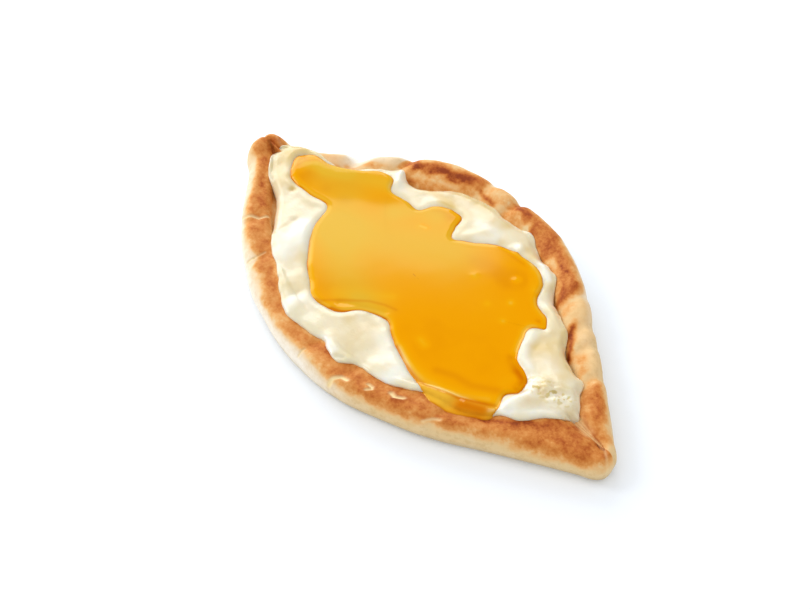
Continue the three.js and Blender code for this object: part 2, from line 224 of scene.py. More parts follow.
CREAM = np.array([
    [95.5, 3.4], [93.4, 5.6], [90.3, 8.8], [86.6, 11.8], [82.6, 17.4], [76, 18.2], [65.5, 22.6],
    [57, 31], [46, 35.2], [39, 38.5], [30, 46.6], [18, 49.4], [4, 55], [-10, 52.6], [-24, 52],
    [-34, 48.4], [-43, 41.5], [-50, 34.5], [-57, 33], [-63, 35], [-68.5, 27.8], [-76, 19.6],
    [-82, 14], [-88, 11.6], [-98, 10.4], [-106.5, 4.5], [-108, -5.5], [-98.5, -14.6],
    [-84.6, -20.4], [-71.4, -31], [-59.4, -40.3], [-48.6, -45.2], [-36, -52.2], [-24, -57.8],
    [-16, -56.8], [-8, -55.8], [-2, -54.4], [4, -56], [11, -56.8], [18, -51.2], [32, -47.6],
    [40.5, -43.4], [46.5, -38.6], [55, -35], [65, -31], [73, -24.2], [76, -19.6], [82, -16.8],
    [87.5, -8], [93, -0.6],
])
HONEY = np.array([
    [71, -8], [69, -1.6], [64, 1.4], [57, 3], [51, 11], [47, 19], [51, 23.5], [47, 27.6],
    [36.5, 31], [30, 40], [22, 44], [10, 42.4], [0, 38], [-7, 31.5], [-14.5, 26], [-18.5, 30],
    [-22, 36.8], [-29, 36.4], [-35.5, 32], [-38, 25], [-46, 24], [-54.5, 22], [-60, 27.4],
    [-67, 26], [-75, 17.4], [-84, 11.2], [-94, 7.8], [-98.5, 2.6], [-96, -3.4], [-89, -8.6],
    [-76, -8], [-65, -6.2], [-57.5, -18.6], [-45, -31.2], [-32, -39.6], [-24, -43.4],
    [-11, -40.2], [-5, -31.6], [5, -26.4], [14, -30.4], [28, -34.6], [41, -37.8], [54, -39.2],
    [65.6, -33.4], [73.6, -25.6], [72, -18.8], [68.5, -13],
])

# Soft lumps in the cream's top: x, y, radius, height.
LUMPS = [
    (80, 4, 11, 3.6), (76, -12, 7, 2.4), (64, 16, 12, 1.8), (48, 31, 8, 1.0), (22, 46, 8, 0.8),
    (-10, 44, 13, 1.6), (-40, 37, 10, 0.8), (-100, 3, 8, 2.2), (-88, -14, 9, 0.8),
    (-70, -20, 9, 1.2), (-56, -30, 9, 1.6), (-38, -46, 10, 1.0), (-12, -50, 12, 1.2),
    (6, -40, 11, 1.4), (28, -42, 8, 1.2),
]

# Strokes in the cream's top, in plan: ridges rise and hollows sink by their strength.
CREAM_RIDGES = [
    ([(-53, -38), (-58, -31), (-60, -24)], 5.0, 0.6), ([(-26, -46), (-24, -59)], 3.5, 0.5),
    ([(-11, -38), (-3, -31)], 1.8, 0.35), ([(-2, -52.5), (6.5, -54.5)], 2.6, 0.7),
    ([(23, -45), (37, -42.5)], 3.4, 0.7), ([(10.5, -30.5), (18.5, -34)], 1.4, 0.5),
    ([(-41, -50), (-38.5, -39)], 2.2, 0.15), ([(-7, 41), (-12, 32)], 2.4, 0.5),
    ([(8, 46), (10, 42)], 1.8, 0.6), ([(23, 47.5), (33, 42.5)], 2.2, 0.8),
    ([(-20, 21), (-13, 24.5)], 1.8, 0.5), ([(52, 33), (57, 29)], 2.5, 0.6),
    ([(-62, 35), (-57, 28)], 2.2, 1.2), ([(50, 17), (52.5, 9), (57.5, 4), (64, 2)], 3.0, 0.8),
    ([(73, -17), (74, -11), (76, -6)], 3.0, 1.0), ([(92, -1), (98.5, 2.2)], 0.8, 0.3),
    ([(-28, -55), (-24, -57)], 2.5, 0.5),
]
CREAM_HOLLOWS = [
    ([(-82.5, -12.5)], 1.6, -0.9), ([(-66, -23)], 1.7, -0.8), ([(-65, -26), (-66, -32)], 1.6, -0.4),
    ([(-101, -2), (-98, -9)], 3.5, -0.3), ([(0, 41), (3, 42)], 2.5, -0.6),
    ([(30, 42), (38, 36)], 3.0, -0.4), ([(8.6, -56), (11.5, -54)], 1.2, -1.3),
    ([(-30, -56), (-30, -46)], 1.4, -0.3),
]

# Yellower places in the cream, in plan: partly buttery colour, partly painted shade in its hollows and
# shaded places.
CREAM_BUTTER_AND_SHADE = [
    ([(-104, 2), (-100, -8)], 6.0, 0.45), ([(-104, 6), (-92, 9)], 3.0, 0.6),
    ([(-100, -10), (-92, -11)], 4.0, 0.25), ([(-83, -12)], 1.8, 0.8),
    ([(-67, -20), (-63, -30)], 2.2, 0.5), ([(-61, -38), (-55, -40)], 2.0, 0.3),
    ([(-30, -54)], 1.6, 0.5), ([(-4, -38), (6, -32)], 4.5, 0.45), ([(8, -55)], 1.2, 0.8),
    ([(-5, 50)], 2.4, 0.4), ([(-60, 42), (-44, 46), (-20, 50)], 3.0, 0.6), ([(0, 41)], 2.0, 0.5),
    ([(11, 47), (16, 46)], 2.0, 0.45), ([(34, 38)], 2.0, 0.5), ([(59, 12), (66, 11)], 5.5, 0.5),
    ([(60, 20), (67, 16), (74, 11)], 4.0, 0.5), ([(-48, 36), (-38, 37.5), (-30, 38)], 2.8, 0.9),
    ([(58, 28), (67, 21), (73, 17)], 2.5, 0.5), ([(74, -1), (76, 3)], 2.6, 0.4),
    ([(79, -2)], 2.4, 0.7), ([(77, -8), (81, -5)], 1.8, 0.4), ([(81, 6), (85, 9)], 2.2, 0.3),
    ([(89, 1), (92, 2)], 2.5, 0.4),
]

# Painted highlights: where the cream is whiter, on slopes that catch the lamps, in plan.
CREAM_PAINTED_HIGHLIGHTS = [
    ([(-61, -24), (-56, -34), (-53, -38)], 5.0, 0.9), ([(-62, -20), (-54, -28)], 4.0, 0.7),
    ([(-26, -57), (-28, -51), (-26, -47)], 3.0, 0.8), ([(-2, -54), (6, -55)], 3.0, 0.9),
    ([(13, -34), (21, -36), (29, -39)], 4.5, 0.7), ([(32, -47), (33, -40)], 3.5, 1.0),
    ([(21, 47), (30, 43)], 2.0, 1.0), ([(51, 17), (53, 11), (58, 6), (63, 4)], 2.2, 0.9),
    ([(68, 1), (74, -5), (74, -14), (75, -18)], 3.0, 0.9),
    ([(75, -18), (82, -11), (89, -1)], 2.5, 0.6), ([(67, 12), (72, 11)], 5.0, 0.5),
    ([(7, 45)], 2.5, 0.9), ([(-8, 34), (-2, 39)], 2.0, 0.6), ([(-14, 41), (-4, 42.5)], 3.0, 0.7),
    ([(-62, 33), (-54, 27)], 2.5, 0.8), ([(79, -6), (86, 4)], 4.0, 0.4),
]
CURDS = [([(71, -1), (79, 1.5), (86, 4)], 4.6, 1.0)]  # the curdled patch, in plan
CURD_DEPTH = 1.2
CURD_SIZE = 3.6
CURD_SEED = 5
CURD_GRAIN = np.array([[0.30, -0.79], [0.39, 0.61]])  # turns and stretches the curds sideways

# Where the honey's surface dips or swells, in plan.
HONEY_RUNS = [
    ([(46, -39.5), (58, -35.5), (68, -29), (72, -23)], 3.6, -0.9),
    ([(-96, 4), (-97, -3)], 3.0, -0.6), ([(-14, -36), (-6, -30), (2, -25)], 1.6, -0.4),
    ([(-94, -3), (-92, 4.5), (-87, 8.5), (-79, 12), (-73, 19), (-64, 27)], 12.0, 1.15),
    ([(8.8, 19.4)], 1.2, 0.15), ([(21.9, 31.5)], 1.2, 0.15),
]

# Strokes of colour in the honey, in plan: deeper where positive, paler where negative. Some pale strokes
# are painted highlights: a bubble's glint and bright bands on the tongue's bulge.
HONEY_SHADES_AND_HIGHLIGHTS = [
    # Painted highlights: the first stroke, a bubble's glint, and the two pale bands along the tongue's
    # bulge that follow.
    ([(-29, 18.8), (-26.5, 20)], 1.2, -0.60), ([(-90, -4), (-89, 2), (-83, 5)], 2.8, -0.25),
    ([(-77, 8), (-71, 17), (-61, 22)], 3.6, -0.25), ([(-73, -0.5)], 2.6, 0.15),
    ([(-62, 2)], 3.2, 0.2), ([(-34, 30), (-25, 33), (-20, 35)], 3.2, 0.25),
    ([(-34.5, 31)], 2.0, -0.35), ([(-59, -19), (-47, -29), (-36, -39)], 2.0, -0.30),
    ([(22, -32), (30, -34), (41, -34), (50, -32), (58, -27), (66, -20)], 3.0, -0.4),
    ([(-19, -34), (-13, -27), (-3, -17)], 2.6, -0.35), ([(24, -22), (27, -22)], 1.6, -0.25),
    ([(71, -24), (72, -22)], 1.2, -0.4), ([(46, -39), (52, -38), (59, -34)], 2.4, -0.1),
    ([(-12, -30), (2, -25)], 3.5, -0.2),
    ([(56, 3), (62, 0), (67.7, -1.2), (71, -5.5), (70.5, -11)], 2.6, 0.70),
    ([(63.5, -10), (64, -4.5)], 2.6, -0.15),
    ([(-92, -7), (-87, -9.2), (-81, -9.2), (-73.5, -9), (-68, -8.4)], 0.9, 0.60),
    ([(-96, -2), (-96, 3), (-93, 8), (-88.5, 10.2)], 2.4, 0.5),
    ([(-66, 18), (-58, 22)], 5.0, -0.25), ([(2, 25), (12, 29), (22, 33)], 5.0, 0.15),
    ([(47, 24), (50, 24)], 2.4, 0.30), ([(57, 4), (51, 12), (47, 19)], 2.5, -0.15),
    ([(2, 38), (22, 42), (34, 33)], 1.4, 0.25), ([(30, 22)], 1.8, -0.20), ([(36, 12)], 2.0, -0.15),
    ([(22, 32)], 2.2, -0.20), ([(9, 19)], 2.0, -0.20), ([(23, -22), (27, -23)], 1.8, -0.20),
    ([(9, 19)], 1.6, -0.35), ([(22, 32)], 1.6, -0.35), ([(31, 21)], 1.5, -0.4),
    ([(25, 13)], 1.5, -0.3), ([(37, 12)], 1.5, -0.35), ([(19, 43), (25, 40), (31, 34)], 2.0, -0.4),
    ([(15, 26), (21, 26)], 3.0, 0.08),
]

# Thin darker lines in the honey, where layers of it meet, in plan.
HONEY_LINES = [
    ([(20, -32), (29, -35), (38, -36), (45, -36), (52, -33), (58, -30), (64, -25), (70, -20)], 0.9, 0.65),
    ([(41, -27), (48, -23), (56, -21), (60, -18), (65, -14)], 2.0, 0.35),
    ([(-24, -44), (-20, -42), (-17, -38), (-14, -34), (-7, -26), (-1, -22), (4, -20)], 0.8, 0.45),
    ([(-14, -41), (-10, -39), (-8, -37), (-6, -34)], 0.9, 0.8),
    ([(62, -31), (69, -26)], 4.0, 1.0), ([(-91, -7), (-93, -3), (-93, 2), (-90, 7), (-83, 9)], 0.8, 0.3),
]

# Where the honey is paler and cloudier, in plan: partly painted reflection, over the part of the pool where
# the back softbox is mirrored.
HONEY_HAZE_AND_REFLECTION = [
    ([(-54, -6), (-32, 2), (-10, 20)], 17.0, 0.82),
    ([(-48, -14), (-30, -24), (-12, -28)], 11.0, 0.7), ([(-93, 1), (-87, 6), (-76, 13)], 4.0, 0.8),
    ([(-80, 1), (-66, 7)], 8.0, 0.3), ([(-81, 7), (-70, 16), (-60, 23)], 6.0, 0.6),
    ([(-43, 16), (-38, 26), (-30, 29)], 6.0, 0.6), ([(-11, -29), (1, -24)], 4.0, 0.35),
    # This last stroke clears the haze for the bubble's painted glint.
    ([(-28.5, 19.8), (-26.5, 20.4)], 1.3, -0.8),
]

# ---- Steps of the meshes -----------------------------------------------------------------------

BREAD_STEPS = 880
BREAD_SECTION_STEPS = (5, 4, 8, 9, 9, 10, 18, 14, 6, 5, 3, 2)
CREAM_STEPS = 860
CREAM_RINGS = 92
HONEY_STEPS = 760
HONEY_RINGS = 84
BULGE_RING = sum(BREAD_SECTION_STEPS[:3])  # the ring at which the wall stands out furthest
UNDERSIDE_SHARE = 0.6  # how far towards the seam the underside's innermost ring lies
LAYER_UNDERSIDE = (0.8, 0.55, 0.35, 0.2, 0.1, 0.04)  # shares of the way in, from the middle out
LAYER_EDGE_RINGS = 6
LAYER_INNERMOST = 0.985  # how far in a layer's last ring lies, before the crowding
LAYER_CROWDING = 1.6  # a power: above 1 the rings lie closer together near the edge
CURVE_STEPS = 40  # steps a stretch of an outline, before its points are spaced anew
CRACK_CROWDING = 4  # distance round a crack within which the bread's steps lie closer
EDGE_EVENING = 2  # steps over which the direction of a layer's edge is evened out
HIGH_ABOVE = 100  # height from which the ground is felt for
TINY = 1e-9

# ---- Curves, tables and noise ------------------------------------------------------------------


def smooth(t):
    """A step from 0 to 1, eased at both ends."""
    t = np.clip(t, 0, 1)
    return t * t * (3 - 2 * t)


def fade(value, start, end):
    """0 up to the start and 1 from the end, eased between them. The end may be the lower one."""
    return smooth((value - start) / (end - start))


def mix(a, b, t):
    return a + (b - a) * t


def bell(distance, width):
    """A soft bump: 1 at no distance, and nearly 0 at twice the width."""
    return np.exp(-((distance / width) ** 2))


def brushed(places, strokes):
    """What soft strokes along lines add up to at points: strength times a bell across each."""
    total = np.zeros(places.shape[:-1])
    for line, width, strength in strokes:
        points = np.array(line, float)
        nearest = np.full(places.shape[:-1], np.inf)
        stretches = list(zip(points[:-1], points[1:])) or [(points[0], points[0])]
        for a, b in stretches:
            run = b - a
            share = np.clip(((places - a) @ run) / max(run @ run, TINY), 0, 1)
            gap = places - a - share[..., None] * run
            nearest = np.minimum(nearest, np.hypot(gap[..., 0], gap[..., 1]))
        total += strength * bell(nearest, width)
    return total


def curve_through(points, steps, closed=False):
    """Points on the centripetal Catmull-Rom curve through the given ones, with so many steps a stretch."""
    if closed:
        padded = np.concatenate([points[-1:], points, points[:2]])
    else:
        padded = np.concatenate([2 * points[:1] - points[1:2], points, 2 * points[-1:] - points[-2:-1]])
    gaps = np.sqrt(np.linalg.norm(np.diff(padded, axis=0), axis=-1, keepdims=True)) + 1e-6
    laid = []
    for i in range(len(padded) - 3):
        a, b, c, d = padded[i:i + 4]
        ab, bc, cd = gaps[i:i + 3]
        leaving = ((b - a) / ab - (c - a) / (ab + bc) + (c - b) / bc) * bc
        arriving = ((c - b) / bc - (d - b) / (bc + cd) + (d - c) / cd) * bc
        for t in np.arange(steps[i]) / steps[i]:
            bend = (3 * (c - b) - 2 * leaving - arriving) * t**2
            twist = (2 * (b - c) + leaving + arriving) * t**3
            laid.append(b + leaving * t + bend + twist)
    if not closed:
        laid.append(points[-1])
    return np.array(laid)


def outline_ring(outline, steps, crowding=lambda points: 1.0):
    """Points along the closed curve through an outline, closer together where crowding is high."""
    fine = curve_through(outline, [CURVE_STEPS] * len(outline), closed=True)
    fine = np.concatenate([fine, fine[:1]])
    lengths = np.linalg.norm(np.diff(fine, axis=0), axis=1)
    weights = lengths * crowding((fine[1:] + fine[:-1]) / 2)
    travelled = np.concatenate([[0], np.cumsum(weights)])
    stops = np.arange(steps) / steps * travelled[-1]
    return np.stack([np.interp(stops, travelled, fine[:, axis]) for axis in (0, 1)], axis=1)


def uneven(ring, unevenness):
    """A ring whose line wavers."""
    along = np.roll(ring, -1, axis=0) - np.roll(ring, 1, axis=0)
    across = np.stack([along[:, 1], -along[:, 0]], axis=1) / np.linalg.norm(along, axis=1, keepdims=True)
    return ring + across * bumps(ring, unevenness)[:, None]


def rows_at(table, x):
    """The rows of a table at each x, eased between the rows on either side."""
    after = np.clip(np.searchsorted(table[:, 0], x), 1, len(table) - 1)
    start, end = table[after - 1], table[after]
    share = smooth((x - start[:, 0]) / (end[:, 0] - start[:, 0]))
    return mix(start, end, share[:, None]).T


def rounded(ring, spread):
    """A closed ring of points or values, softened over so many steps."""
    turns = np.fft.fftfreq(len(ring))
    keep = np.exp(-2 * (math.pi * turns * spread) ** 2)
    keep = keep.reshape([-1] + [1] * (ring.ndim - 1))
    return np.fft.ifft(np.fft.fft(ring, axis=0) * keep, axis=0).real


SEED_SHIFT = 7.13  # how far each seed moves the noise, in bumps
SEED_STRIDE = 2654435
AXIS_PRIMES = (73856093, 19349663, 83492791)
SCRAMBLE = 1274126177
HALF_RANGE = 0xFFFF / 2


def ripple(places, size, seed):
    """Smooth noise from about -1 to 1, with bumps about so many millimetres across."""
    cell = places / size + seed * SEED_SHIFT
    corner = np.floor(cell).astype(np.int64)
    share = cell - corner
    share = share**3 * (share * (share * 6 - 15) + 10)
    total = np.zeros(places.shape[:-1])
    for offset in np.ndindex(*[2] * places.shape[-1]):
        weight = np.prod(np.where(offset, share, 1 - share), axis=-1)
        mixed = np.full(places.shape[:-1], seed * SEED_STRIDE, np.int64)
        for axis, prime in zip(range(places.shape[-1]), AXIS_PRIMES):
            mixed = mixed ^ ((corner[..., axis] + offset[axis]) * prime)
        mixed = (mixed ^ (mixed >> 13)) * SCRAMBLE & 0x7FFFFFFF
        mixed = (mixed ^ (mixed >> 15)) & 0xFFFF
        total = total + weight * (mixed / HALF_RANGE - 1)
    return total


def ripples(places, size, seed, layers=3):
    """Noise in several layers, each half the size and half the strength of the one before."""
    return sum(ripple(places, size / 2**i, seed + i) / 2**i for i in range(layers))


def bumps(places, unevenness):
    """Heights of an unevenness, which is its size across, depth, seed and layers."""
    size, depth, seed, layers = unevenness
    return depth * ripples(places, size, seed, layers)


# ---- Meshes made of rings ----------------------------------------------------------------------


def outward(rings):
    """Directions that point out of a skin made of rings."""
    along = np.roll(rings, -1, axis=1) - np.roll(rings, 1, axis=1)
    across = np.gradient(rings, axis=0)
    normal = np.cross(along, across)
    return normal / np.maximum(np.linalg.norm(normal, axis=-1, keepdims=True), TINY)


def skin(name, rings, marks):
    """A closed mesh from rings of points that run from under its middle, round its edge and over
    its top, with a pole at each end. Marks are values kept at each point for the finish."""
    count, steps = rings.shape[:2]
    poles = rings[[0, -1]].mean(axis=1)
    places = np.concatenate([poles[:1], rings.reshape(-1, 3), poles[1:]])
    here = 1 + np.arange(count * steps).reshape(count, steps)
    after = np.roll(here, -1, axis=1)
    quads = np.stack([here[:-1], after[:-1], after[1:], here[1:]], axis=-1).reshape(-1, 4)
    last = len(places) - 1
    caps = [(0, b, a) for a, b in zip(here[0], after[0])]
    caps += [(last, a, b) for a, b in zip(here[-1], after[-1])]
    mesh = bpy.data.meshes.new(name)
    mesh.from_pydata((places * MM).tolist(), [], quads.tolist() + caps)
    mesh.polygons.foreach_set("use_smooth", [True] * len(mesh.polygons))
    for mark, values in marks.items():
        at_poles = values[[0, -1]].mean(axis=1)
        everywhere = np.concatenate([at_poles[:1], values.ravel(), at_poles[1:]])
        mesh.attributes.new(mark, "FLOAT", "POINT").data.foreach_set("value", everywhere.astype(np.float32))
    mesh.update()
    piece = bpy.data.objects.new(name, mesh)
    bpy.context.scene.collection.objects.link(piece)
    return piece


class Ground:
    """What a layer is spread on: the height of the highest of some skins at a point."""

    def __init__(self, *rings_of):
        self.trees = [self.tree(rings) for rings in rings_of]

    @staticmethod
    def tree(rings):
        count, steps = rings.shape[:2]
        here = np.arange(count * steps).reshape(count, steps)
        after = np.roll(here, -1, axis=1)
        quads = np.stack([here[:-1], after[:-1], after[1:], here[1:]], axis=-1).reshape(-1, 4)
        return BVHTree.FromPolygons(rings.reshape(-1, 3).tolist(), quads.tolist())

    def height(self, places):
        """Heights under an array of points."""
        down = Vector((0, 0, -1))
        found = np.full(places.shape[:-1], FLOOR_Z)
        for where in np.ndindex(*places.shape[:-1]):
            x, y = places[where][:2]
            for tree in self.trees:
                hit = tree.ray_cast(Vector((x, y, HIGH_ABOVE)), down)[0]
                if hit is not None:
                    found[where] = max(found[where], hit.z)
        return found


class Outline:
    """A closed outline seen from above, for asking how deep inside it a point lies."""

    def __init__(self, ring):
        self.corners = ring
        fine = np.concatenate([mix(ring, np.roll(ring, -1, axis=0), t) for t in (0, 0.25, 0.5, 0.75)])
        self.tree = KDTree(len(fine))
        for i, (x, y) in enumerate(fine):
            self.tree.insert((x, y, 0), i)
        self.tree.balance()

    def depth(self, places):
        """Distance to the outline, positive inside it."""
        flat = places[..., :2].reshape(-1, 2)
        near = np.array([self.tree.find((x, y, 0))[2] for x, y in flat])
        a, b = self.corners, np.roll(self.corners, -1, axis=0)
        inside = np.zeros(len(flat), bool)
        for (ax, ay), (bx, by) in zip(a, b):
            if ay != by:
                spans = (flat[:, 1] < ay) != (flat[:, 1] < by)
                inside ^= spans & (flat[:, 0] < ax + (bx - ax) * (flat[:, 1] - ay) / (by - ay))
        return np.where(inside, near, -near).reshape(places.shape[:-1])


# ---- Bread -------------------------------------------------------------------------------------


def seam_points(x):
    """The points of the seam that the rim at each x of the outline leans towards."""
    return mix(SEAM[0], SEAM[1], (np.clip(x / BOAT[0, 0], -1, 1) / 2 + 0.5)[:, None])


def crease_depth(x, side):
    """How deep the folds cut into the rim at points of the outline."""
    return sum(depth * bell(x - at, width) * (side == its) for at, its, width, depth in CREASES)


def rim_rows(outline, reach, side):
    """The rim's section at the outline's points, from the underside's edge, over the crest and
    down to the floor: rows of inset, height and the furthest share of the way to the seam."""
    x = outline[:, 0]
    low, high = rows_at(LOW_SIDE, x), rows_at(HIGH_SIDE, x)
    _, crest_z, crest_inset, flap, lip_z = np.where(side > 0, high, low)
    cut = crease_depth(x, side)
    crest = crest_z - cut
    lip = lip_z - cut / 2
    open_share = (reach * FULL_REACH - flap - FLOOR_RUN) / CLOSING_RUN + 1
    base = mix(lip - SEAM_DROP, FLOOR_Z, smooth(open_share))
    zero = 0 * x
    return [
        (CONTACT_INSET + zero, zero, 0.5),
        (HEEL[0] + cut * 0.2, HEEL[1] + zero, 0.3),
        (cut * 0.3, BULGE_Z + zero, 0.2),
        (0.7 + cut * 0.4, mix(BULGE_Z, crest, 0.62), 0.24),
        (crest_inset / 2 + cut * 0.4, crest - SHOULDER_DROP, 0.4),
        (crest_inset, crest, 0.52),
        ((crest_inset + flap) / 2, mix(crest, lip, 0.4), 0.68),
        (flap - LIP_ROUND, lip, 0.8),
        (flap, np.maximum(lip - LIP_ROUND, base), 0.85),
        (flap + LIP_ROUND, mix(base, lip, 0.12), 0.88),
        (flap + FLOOR_RUN, base, FULL_REACH),
        (1e3 + zero, base, 0.93),
    ]


def near_cracks(points):
    """Steps lie closer together where cracks cross the low side."""
    starts = [line[0][0] for line, _, _ in CRACKS_LOW]
    return 1 + sum(bell(points[:, 0] - at, CRACK_CROWDING) for at in starts) * (points[:, 1] < 0)


def bread_rings():
    """Rings of the bread's skin, with the side they lie on and the way climbed from the bulge."""
    outline = outline_ring(BOAT, BREAD_STEPS, near_cracks)
    target = seam_points(outline[:, 0])
    reach = np.linalg.norm(target - outline, axis=1)
    side = np.where(outline[:, 1] > target[:, 1], 1, -1)
    keys = []
    for inset, z, furthest in rim_rows(outline, reach, side):
        share = np.minimum(inset / reach, furthest)[:, None]
        keys.append(np.column_stack([mix(outline, target, share), z]))
    under = np.column_stack([mix(outline, target, UNDERSIDE_SHARE), 0 * reach])
    rings = curve_through(np.array([under] + keys), BREAD_SECTION_STEPS)
    rings[..., 2] = np.maximum(rings[..., 2], 0)
    climbed = np.linalg.norm(np.diff(rings, axis=0), axis=-1)
    climb = np.concatenate([np.zeros((1, BREAD_STEPS)), np.cumsum(climbed, axis=0)])
    return rings, side, climb - climb[BULGE_RING]


# ---- Layers spread on the bread ----------------------------------------------------------------

CREAM_TUCK = -0.4  # angle, in radians, at which the cream's rounded edge meets what it lies on
HONEY_TUCK = -0.1
SINK = 0.25  # how far a layer's underside is let into what it lies on
SPINE_SHARE = 0.62  # length of the line that the inward rings are drawn towards


def inward_layout(outline, shares):
    """Rings that run inwards from an outline, first towards a line along it, then to its middle."""
    middle = (outline.max(axis=0) + outline.min(axis=0)) / 2
    spine = middle + (outline - middle) * [SPINE_SHARE, 0]
    return np.array([(1 - s) ** 2 * outline + 2 * s * (1 - s) * spine + s * s * middle for s in shares])


def edge_rise(depth, radius, tuck):
    """How far a rounded edge has risen at a depth inside the outline: 1 from one radius inwards."""
    height = np.sqrt(1 - (1 - np.clip(depth / radius, 0, 1)) ** 2)
    return (height - math.sin(tuck)) / (1 - math.sin(tuck))


def tucked_edge(outline, radius, tuck, count):
    """Rings under a layer's rounded edge, from where it meets what it lies on up to its outline."""
    along = np.roll(outline, -1, axis=0) - np.roll(outline, 1, axis=0)
    inwards = rounded(np.stack([-along[:, 1], along[:, 0]], axis=1), EDGE_EVENING)
    inwards = inwards / np.linalg.norm(inwards, axis=1, keepdims=True)
    angles = np.linspace(tuck, 0, count, endpoint=False)
    rings = np.array([outline + inwards * radius * (1 - math.cos(a)) for a in angles])
    rises = (np.sin(angles) - math.sin(tuck)) / (1 - math.sin(tuck))
    return rings, rises


def layer_rings(ring, radius, tuck, count, ground, top_at):
    """Rings of a layer from the middle of its underside, round its edge and over its top, and for
    each point its thickness and its depth inside the outline."""
    outline = Outline(ring)
    under = inward_layout(ring, LAYER_UNDERSIDE)
    edge, edge_rises = tucked_edge(ring, radius, tuck, LAYER_EDGE_RINGS)
    top = inward_layout(ring, np.linspace(0, LAYER_INNERMOST, count) ** LAYER_CROWDING)
    plan = np.concatenate([under, edge, top])
    rest = ground.height(plan)
    depth = np.maximum(outline.depth(plan), 0)
    rise = edge_rise(depth, radius, tuck)
    rise[len(under):len(under) + len(edge)] = edge_rises[:, None]
    height = top_at(plan, rest)
    z = rest - SINK + (height - rest + SINK) * rise
    z[:len(under)] = rest[:len(under)] - SINK
    return np.concatenate([plan, z[..., None]], axis=-1), z - rest, depth


def curdling(plan):
    """How curdled the cream is: up to 1."""
    return np.minimum(brushed(plan, CURDS), 1)


def cream_top(honey_outline):
    """How high the cream stands, as a function of plan and of what it rests on."""
    def top_at(plan, rest):
        x, y = plan[..., 0], plan[..., 1]
        lumps = sum(h * bell(np.hypot(x - cx, y - cy), r) for cx, cy, r, h in LUMPS)
        depth = honey_outline.depth(plan)
        pool = smooth(depth / POOL_BANK + POOL_START)
        lumps = lumps * (1 - smooth(depth / LUMP_FADE + LUMP_FADE_START))
        level = CREAM_Z + lumps - POOL_DEPTH * pool
        waves = bumps(plan, CREAM_SWELL) + bumps(plan, CREAM_WAVES)
        waves += POOL_LIP * bell(depth + POOL_LIP_AWAY, POOL_LIP_WIDTH)
        waves += brushed(plan, CREAM_RIDGES + CREAM_HOLLOWS)
        waves += CURD_DEPTH * curdling(plan) * ripples(plan @ CURD_GRAIN, CURD_SIZE, CURD_SEED)
        thick = level + waves * (1 - pool * POOL_CALM)
        return soft_max(thick, rest + CREAM_FILM + waves * FILM_WAVES)
    return top_at


def honey_top(plan, rest):
    return soft_max(HONEY_Z + brushed(plan, HONEY_RUNS), rest + HONEY_FILM)


def soft_max(a, b, blend=0.5):
    """The larger of two heights, eased where they cross."""
    return (a + b + np.sqrt((a - b) ** 2 + blend**2)) / 2


# ---- Node helpers ------------------------------------------------------------------------------


class Amount:
    """A number that varies over a surface. Sums and products of amounts add Math nodes."""

    def __init__(self, finish, socket):
        self.finish = finish
        self.socket = socket

    def worked(self, operation, *values, clamp=False):
        node = self.finish.node("ShaderNodeMath", {"operation": operation, "use_clamp": clamp},
                                dict(enumerate(values)))
        return Amount(self.finish, node.outputs[0])

    def __add__(self, other):
        return self.worked("ADD", self, other)

    def __radd__(self, other):
        return self.worked("ADD", other, self)

    def __sub__(self, other):
        return self.worked("SUBTRACT", self, other)

    def __rsub__(self, other):
        return self.worked("SUBTRACT", other, self)

    def __mul__(self, other):
        return self.worked("MULTIPLY", self, other)

    def __rmul__(self, other):
        return self.worked("MULTIPLY", other, self)

    def __truediv__(self, other):
        return self.worked("DIVIDE", self, other)

    def __rtruediv__(self, other):
        return self.worked("DIVIDE", other, self)

    def held(self):
        """Kept between 0 and 1."""
        return self.worked("ADD", self, 0.0, clamp=True)

    def step(self, low, high):
        """0 below low and 1 above high, eased between them."""
        node = self.finish.node("ShaderNodeMapRange", {"interpolation_type": "SMOOTHSTEP"},
                                {0: self, 1: low, 2: high})
        return Amount(self.finish, node.outputs[0])


